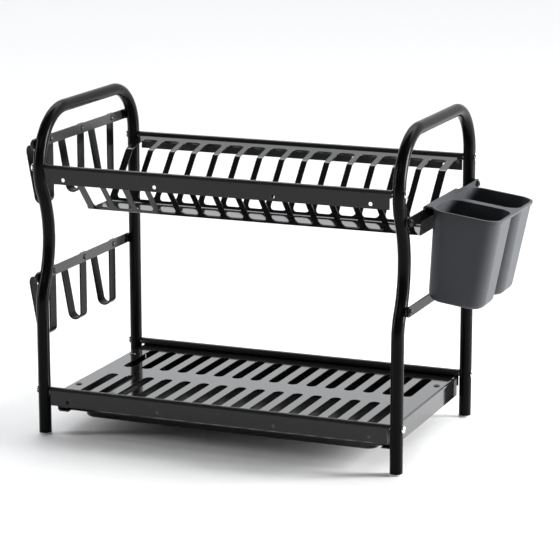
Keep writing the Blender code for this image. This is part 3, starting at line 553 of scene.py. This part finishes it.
def circleRings(profile, centre):
    distance, radius = np.asarray(profile, float).T
    turn = np.linspace(0, 2 * np.pi, turnedSteps, endpoint=False)
    u, v = radius[:, None] * np.cos(turn), radius[:, None] * np.sin(turn)
    return np.stack([np.broadcast_to(distance[:, None], u.shape), u, v], axis=-1) + np.asarray(centre, float)


for row in barRows:
    flatBar(*row)
print("bars done")

# frame bolts and board screws: a dome with a six-sided socket
dome = {"r": 0.0048, "h": 0.003, "shank": 0.003, "socket": 0.0017, "deep": 0.0016}


def domeProfile(r, h, shank, length):
    a = np.radians([8, 25, 42, 58, 72])
    cap = np.column_stack([0.0003 + h * np.sin(a), r * np.cos(a) ** 0.8])
    middle = [(0.0003 + h, 0.0006), (0.0003 + h, r * 0.3)]
    foot = [(0.0003, r), (0.0003, shank), (length, shank)]
    return np.concatenate([middle, cap[::-1], foot])


def socketHead(name, profile, centre, along, sign, top, material, node):
    piece = turned(name, [(sign * d, r) for d, r in profile], centre, along)
    hexagon = arc((0, 0), dome["socket"], 0, 300, 60)[:6]
    depth = np.array([top - dome["deep"], top + 0.001]) * sign
    rings = np.empty((2, 6, 3))
    rings[:, :, 0 if along == "x" else 2] = depth[:, None]
    rings[:, :, [1, 2] if along == "x" else [0, 1]] = hexagon[None]
    combine(piece, [solid("socket", rings + np.asarray(centre, float))])
    use(piece, material, nodes=[node])


for word, side in sides:
    for level, z in (("lower", common["lowerRail"]), ("upper", common["upperRail"])):
        for end, facing in (("front", -1), ("rear", 1)):
            centre = (side * (common["legX"] + tube["radius"]), facing * common["legY"], z)
            place = f"{level}_{end}_{word}"
            shape = domeProfile(dome["r"], dome["h"], dome["shank"], -0.0283)
            socketHead("frameBolt_" + place, shape, centre, "x", side, 0.0033, brightSteel,
                       "frame_bolt_" + place)
for x, y, place in screwSpots:
    shape = domeProfile(0.0042, 0.0016, 0.002, -0.0055) - np.array([board["dimple"] * 0.5, 0])
    socketHead("boardScrew_" + place, shape, (x, y, boardTop), "z", 1, 0.0016, darkSteel,
               "board_screw_" + place)
print("bolts done")

# hooks
hook = {"thick": 0.0018, "width": 0.0175, "pitch": 0.088, "shift": 0.004, "drop": 0.0747,
        "bendR": 0.0089, "flare": 10.0, "tipDrop": 0.011}


def wallHook(name, level, height, y, place):  # a strip whose width narrows as a half circle at the tip
    x = -(barOut + common["gap"] + hook["thick"] / 2)
    half, flare = hook["width"] / 2, math.radians(hook["flare"])
    top = height + bar["height"] / 2
    back = np.array([[x, top - 0.0001], [x, top - 0.001], [x, top - 0.0025], [x, height - bar["height"]]])
    bend = arc((x - hook["bendR"], height - hook["drop"]), hook["bendR"], 0, -180 + hook["flare"], 6)
    up = np.array([-math.sin(flare), math.cos(flare)])
    reach = (height - hook["tipDrop"] - bend[-1, 1]) / up[1] - half
    turn = np.radians(np.linspace(0, 88, 14))
    tip = bend[-1] + up * (reach + half * np.sin(turn))[:, None]
    path = np.concatenate([back, bend, tip])
    shoulder = [half - 0.0018, half - 0.0006, half]
    width = np.concatenate([shoulder, np.full(1 + len(bend), half), half * np.cos(turn)])
    run = np.gradient(path, axis=0)
    run /= np.linalg.norm(run, axis=1)[:, None]
    normal = np.stack([-run[:, 1], run[:, 0]], axis=-1) * hook["thick"] / 2
    sign, across = np.array([1, 1, -1, -1]), np.array([-1, 1, 1, -1])
    rings = np.empty((len(path), 4, 3))
    rings[:, :, [0, 2]] = path[:, None, :] + normal[:, None, :] * sign[None, :, None]
    rings[:, :, 1] = y + width[:, None] * across[None]
    strip = soften(solid(name, rings), 0.00035, 2, 50)
    use(strip, tubeBlack, nodes=[name])
    grip = bar["thick"] + common["gap"] + hook["thick"]
    head = [(0.0020, 0.0007), (0.0018, 0.0018), (0.0013, 0.0029), (0.0007, 0.0035),
            (0.0003, 0.0036), (0.0003, 0.0019), (-grip - 0.0003, 0.0019),
            (-grip - 0.0003, 0.0036), (-grip - 0.0008, 0.0035),
            (-grip - 0.0015, 0.0026), (-grip - 0.0019, 0.0010)]
    rivet = turned(f"rivet_{level}_{place}", head, (-barIn, y, height), "x")
    # the rivets take the powder finish, whose lighter base colour is painted sheen
    use(rivet, powderBlackPaintedSheen, nodes=[f"{level}_hook_rivet_{place}"])


for level, height in (("upper", bar["leftUpper"]), ("lower", bar["lower"])):
    for k, place in enumerate(("front", "middle", "rear")):
        wallHook(f"{level}_hook_{place}", level, height, hook["shift"] + (k - 1) * hook["pitch"], place)
print("hooks done")

# utensil cup
cup = {"length": 0.163, "width": 0.086, "height": 0.116, "shift": 0.001, "wall": 0.002, "floor": 0.0022,
       "draft": 3.5, "innerDraft": 1.0, "tilt": 7.5, "corner": 0.020, "footR": 0.010, "split": 0.010,
       "band": 0.003, "bandOut": 0.0015, "offBar": 0.0073, "ledgeFront": 0.068, "ledgeRear": 0.053,
       "ledge": 0.002, "reach": 0.0112, "lip": 0.037}


def bucketRings(side, top, bottom, inset):  # rounded rectangles that shrink with depth, the foot rounded off
    foot = cup["footR"] - inset
    turn = np.radians([0, 18, 36, 54, 70, 82])
    low = zip(bottom - foot * (1 - np.sin(turn)), foot * (1 - np.cos(turn)))
    stages = [(top, 0.0), ((top + bottom) / 2, 0.0)] + list(low)
    rings = []
    for depth, pull in stages:
        lean = depth * math.tan(math.radians(cup["draft"])) + inset + pull
        near = cup["split"] / 2 + depth * math.tan(math.radians(cup["innerDraft"])) + inset + pull
        y0, y1 = sorted((side * near, side * (cup["length"] / 2 - lean)))
        outline = roundedBox(lean, cup["width"] - lean, y0, y1, cup["corner"] - inset - pull)
        rings.append(np.column_stack([outline, np.full(len(outline), -depth)]))
    return np.stack(rings)


def utensilCup():
    c, band = cup, cup["bandOut"]
    tilt = math.radians(c["tilt"])
    rest = bar["rightUpper"] + bar["height"] / 2 + common["gap"]
    rim = (barOut + c["offBar"], c["shift"], rest + c["ledge"] + common["gap"] - c["offBar"] * math.sin(tilt))
    half = c["length"] / 2 + band
    outline = roundedBox(-band, c["width"] + band, -half, half, c["corner"] + band, 6)
    body = prism("utensilCup", outline, "z", -c["band"], 0.0)
    buckets = [solid("bucket", bucketRings(side, c["band"] / 2, c["height"], 0.0)) for side in (-1, 1)]
    combine(body, [merged("buckets", buckets)], "UNION")
    mid = -c["ledge"] / 2 - common["gap"]
    corners = [(c["wall"] / 2, mid), (-c["reach"], mid), (-c["reach"], mid - c["lip"])]
    strip = ribbon(roundedPath(corners, [0.0022], 9.0), c["ledge"])
    clip = prism("ledge", strip, "y", -c["ledgeFront"] - c["shift"], c["ledgeRear"] - c["shift"])
    combine(body, [clip], "UNION")
    pockets = [solid("pocket", bucketRings(side, -c["wall"], c["height"] - c["floor"], c["wall"]))
               for side in (-1, 1)]
    combine(body, [merged("pockets", pockets)])
    drains = [turned("drain", [(-c["height"] - 0.002, 0.0025), (-c["height"] + 0.005, 0.0025)],
                     (c["width"] / 2 + dx * 0.015, side * c["length"] * 0.25 + dy * 0.015, 0), "z")
              for side in (-1, 1) for dx in (-1, 1) for dy in (-1, 1)]
    combine(body, [merged("drains", drains)])
    soften(body, 0.0005, 3, 45)
    body.data.transform(Matrix.Translation(rim) @ Matrix.Rotation(tilt, 4, "Y"))
    use(body, greyPlastic, body="cup", nodes=["utensil_cup"])


utensilCup()
print("utensil cup done")

# floor, light and camera
floorMaterial = bpy.data.materials.new("paleFloor")
floorMaterial.use_nodes = True
floorShader = floorMaterial.node_tree.nodes["Principled BSDF"]
floorShader.inputs["Base Color"].default_value = (0.9, 0.9, 0.9, 1)
floorShader.inputs["Roughness"].default_value = 0.6
floorMesh = bpy.data.meshes.new("floor")
floorMesh.from_pydata([(-6, -6, 0), (6, -6, 0), (6, 6, 0), (-6, 6, 0)], [], [(0, 1, 2, 3)])
floorMesh.materials.append(floorMaterial)
floor = bpy.data.objects.new("floor", floorMesh)
bpy.context.collection.objects.link(floor)

lamps = {"right": {"at": (2.7, 0.9, 0.75), "size": (0.9, 1.2), "power": 200},
         "left": {"at": (-2.6, -1.1, 0.9), "size": (0.4, 1.4), "power": 36},
         "front": {"at": (0.3, -3.2, 2.8), "size": (2.4, 1.2), "power": 12}}
for name, lamp in lamps.items():
    light = bpy.data.lights.new(name, "AREA")
    light.shape, light.energy = "RECTANGLE", lamp["power"]
    light.size, light.size_y = lamp["size"]
    obj = bpy.data.objects.new(name, light)
    obj.location = lamp["at"]
    obj.rotation_euler = (Vector((midX, 0, 0.2)) - Vector(lamp["at"])).to_track_quat("-Z", "Y").to_euler()
    bpy.context.collection.objects.link(obj)

world = bpy.data.worlds.new("studio")  # white to the camera, dim all round but for a band behind
world.use_nodes = True
sky = Wire(world.node_tree)
ray = sky.add("LightPath", out=0)
way = sky.add("TexCoord", out=0)
split = sky.add("SeparateXYZ", inputs={0: way})
height = Wire(world.node_tree, split.socket.node.outputs[2])
depth = Wire(world.node_tree, split.socket.node.outputs[1])


def ease(value, start, stop, low, high):  # a smooth step between two values
    ends = {0: value, 1: start, 2: stop, 3: low, 4: high}
    return sky.add("MapRange", {"interpolation_type": "SMOOTHSTEP"}, ends)


back = ease(depth, 0.05, 0.45, 0.0, 1.0)
rise = ease(height, 0.62, 0.76, 1.15, 5.4)
end = ease(height, 0.94, 0.86, 0.0, 1.0)
glow = back * rise * end + 0.07
white = sky.add("Math", {"operation": "MAXIMUM"}, {0: ray, 1: glow})
world.node_tree.links.new(white.socket, world.node_tree.nodes["Background"].inputs["Strength"])
world.node_tree.nodes["Background"].inputs["Color"].default_value = (0.975, 0.985, 1.0, 1)
bpy.context.scene.world = world
bpy.context.scene.view_settings.view_transform = "Standard"

view = {"at": (1.1423 + midX, -2.7709, 0.8851), "tilt": 76.99, "turn": 21.85, "lens": 154.18}
camera = bpy.data.cameras.new("camera")
camera.lens, camera.sensor_width = view["lens"], 36
cameraObject = bpy.data.objects.new("camera", camera)
cameraObject.location = view["at"]
cameraObject.rotation_euler = (math.radians(view["tilt"]), 0, math.radians(view["turn"]))
bpy.context.collection.objects.link(cameraObject)
bpy.context.scene.camera = cameraObject
print("stage set")
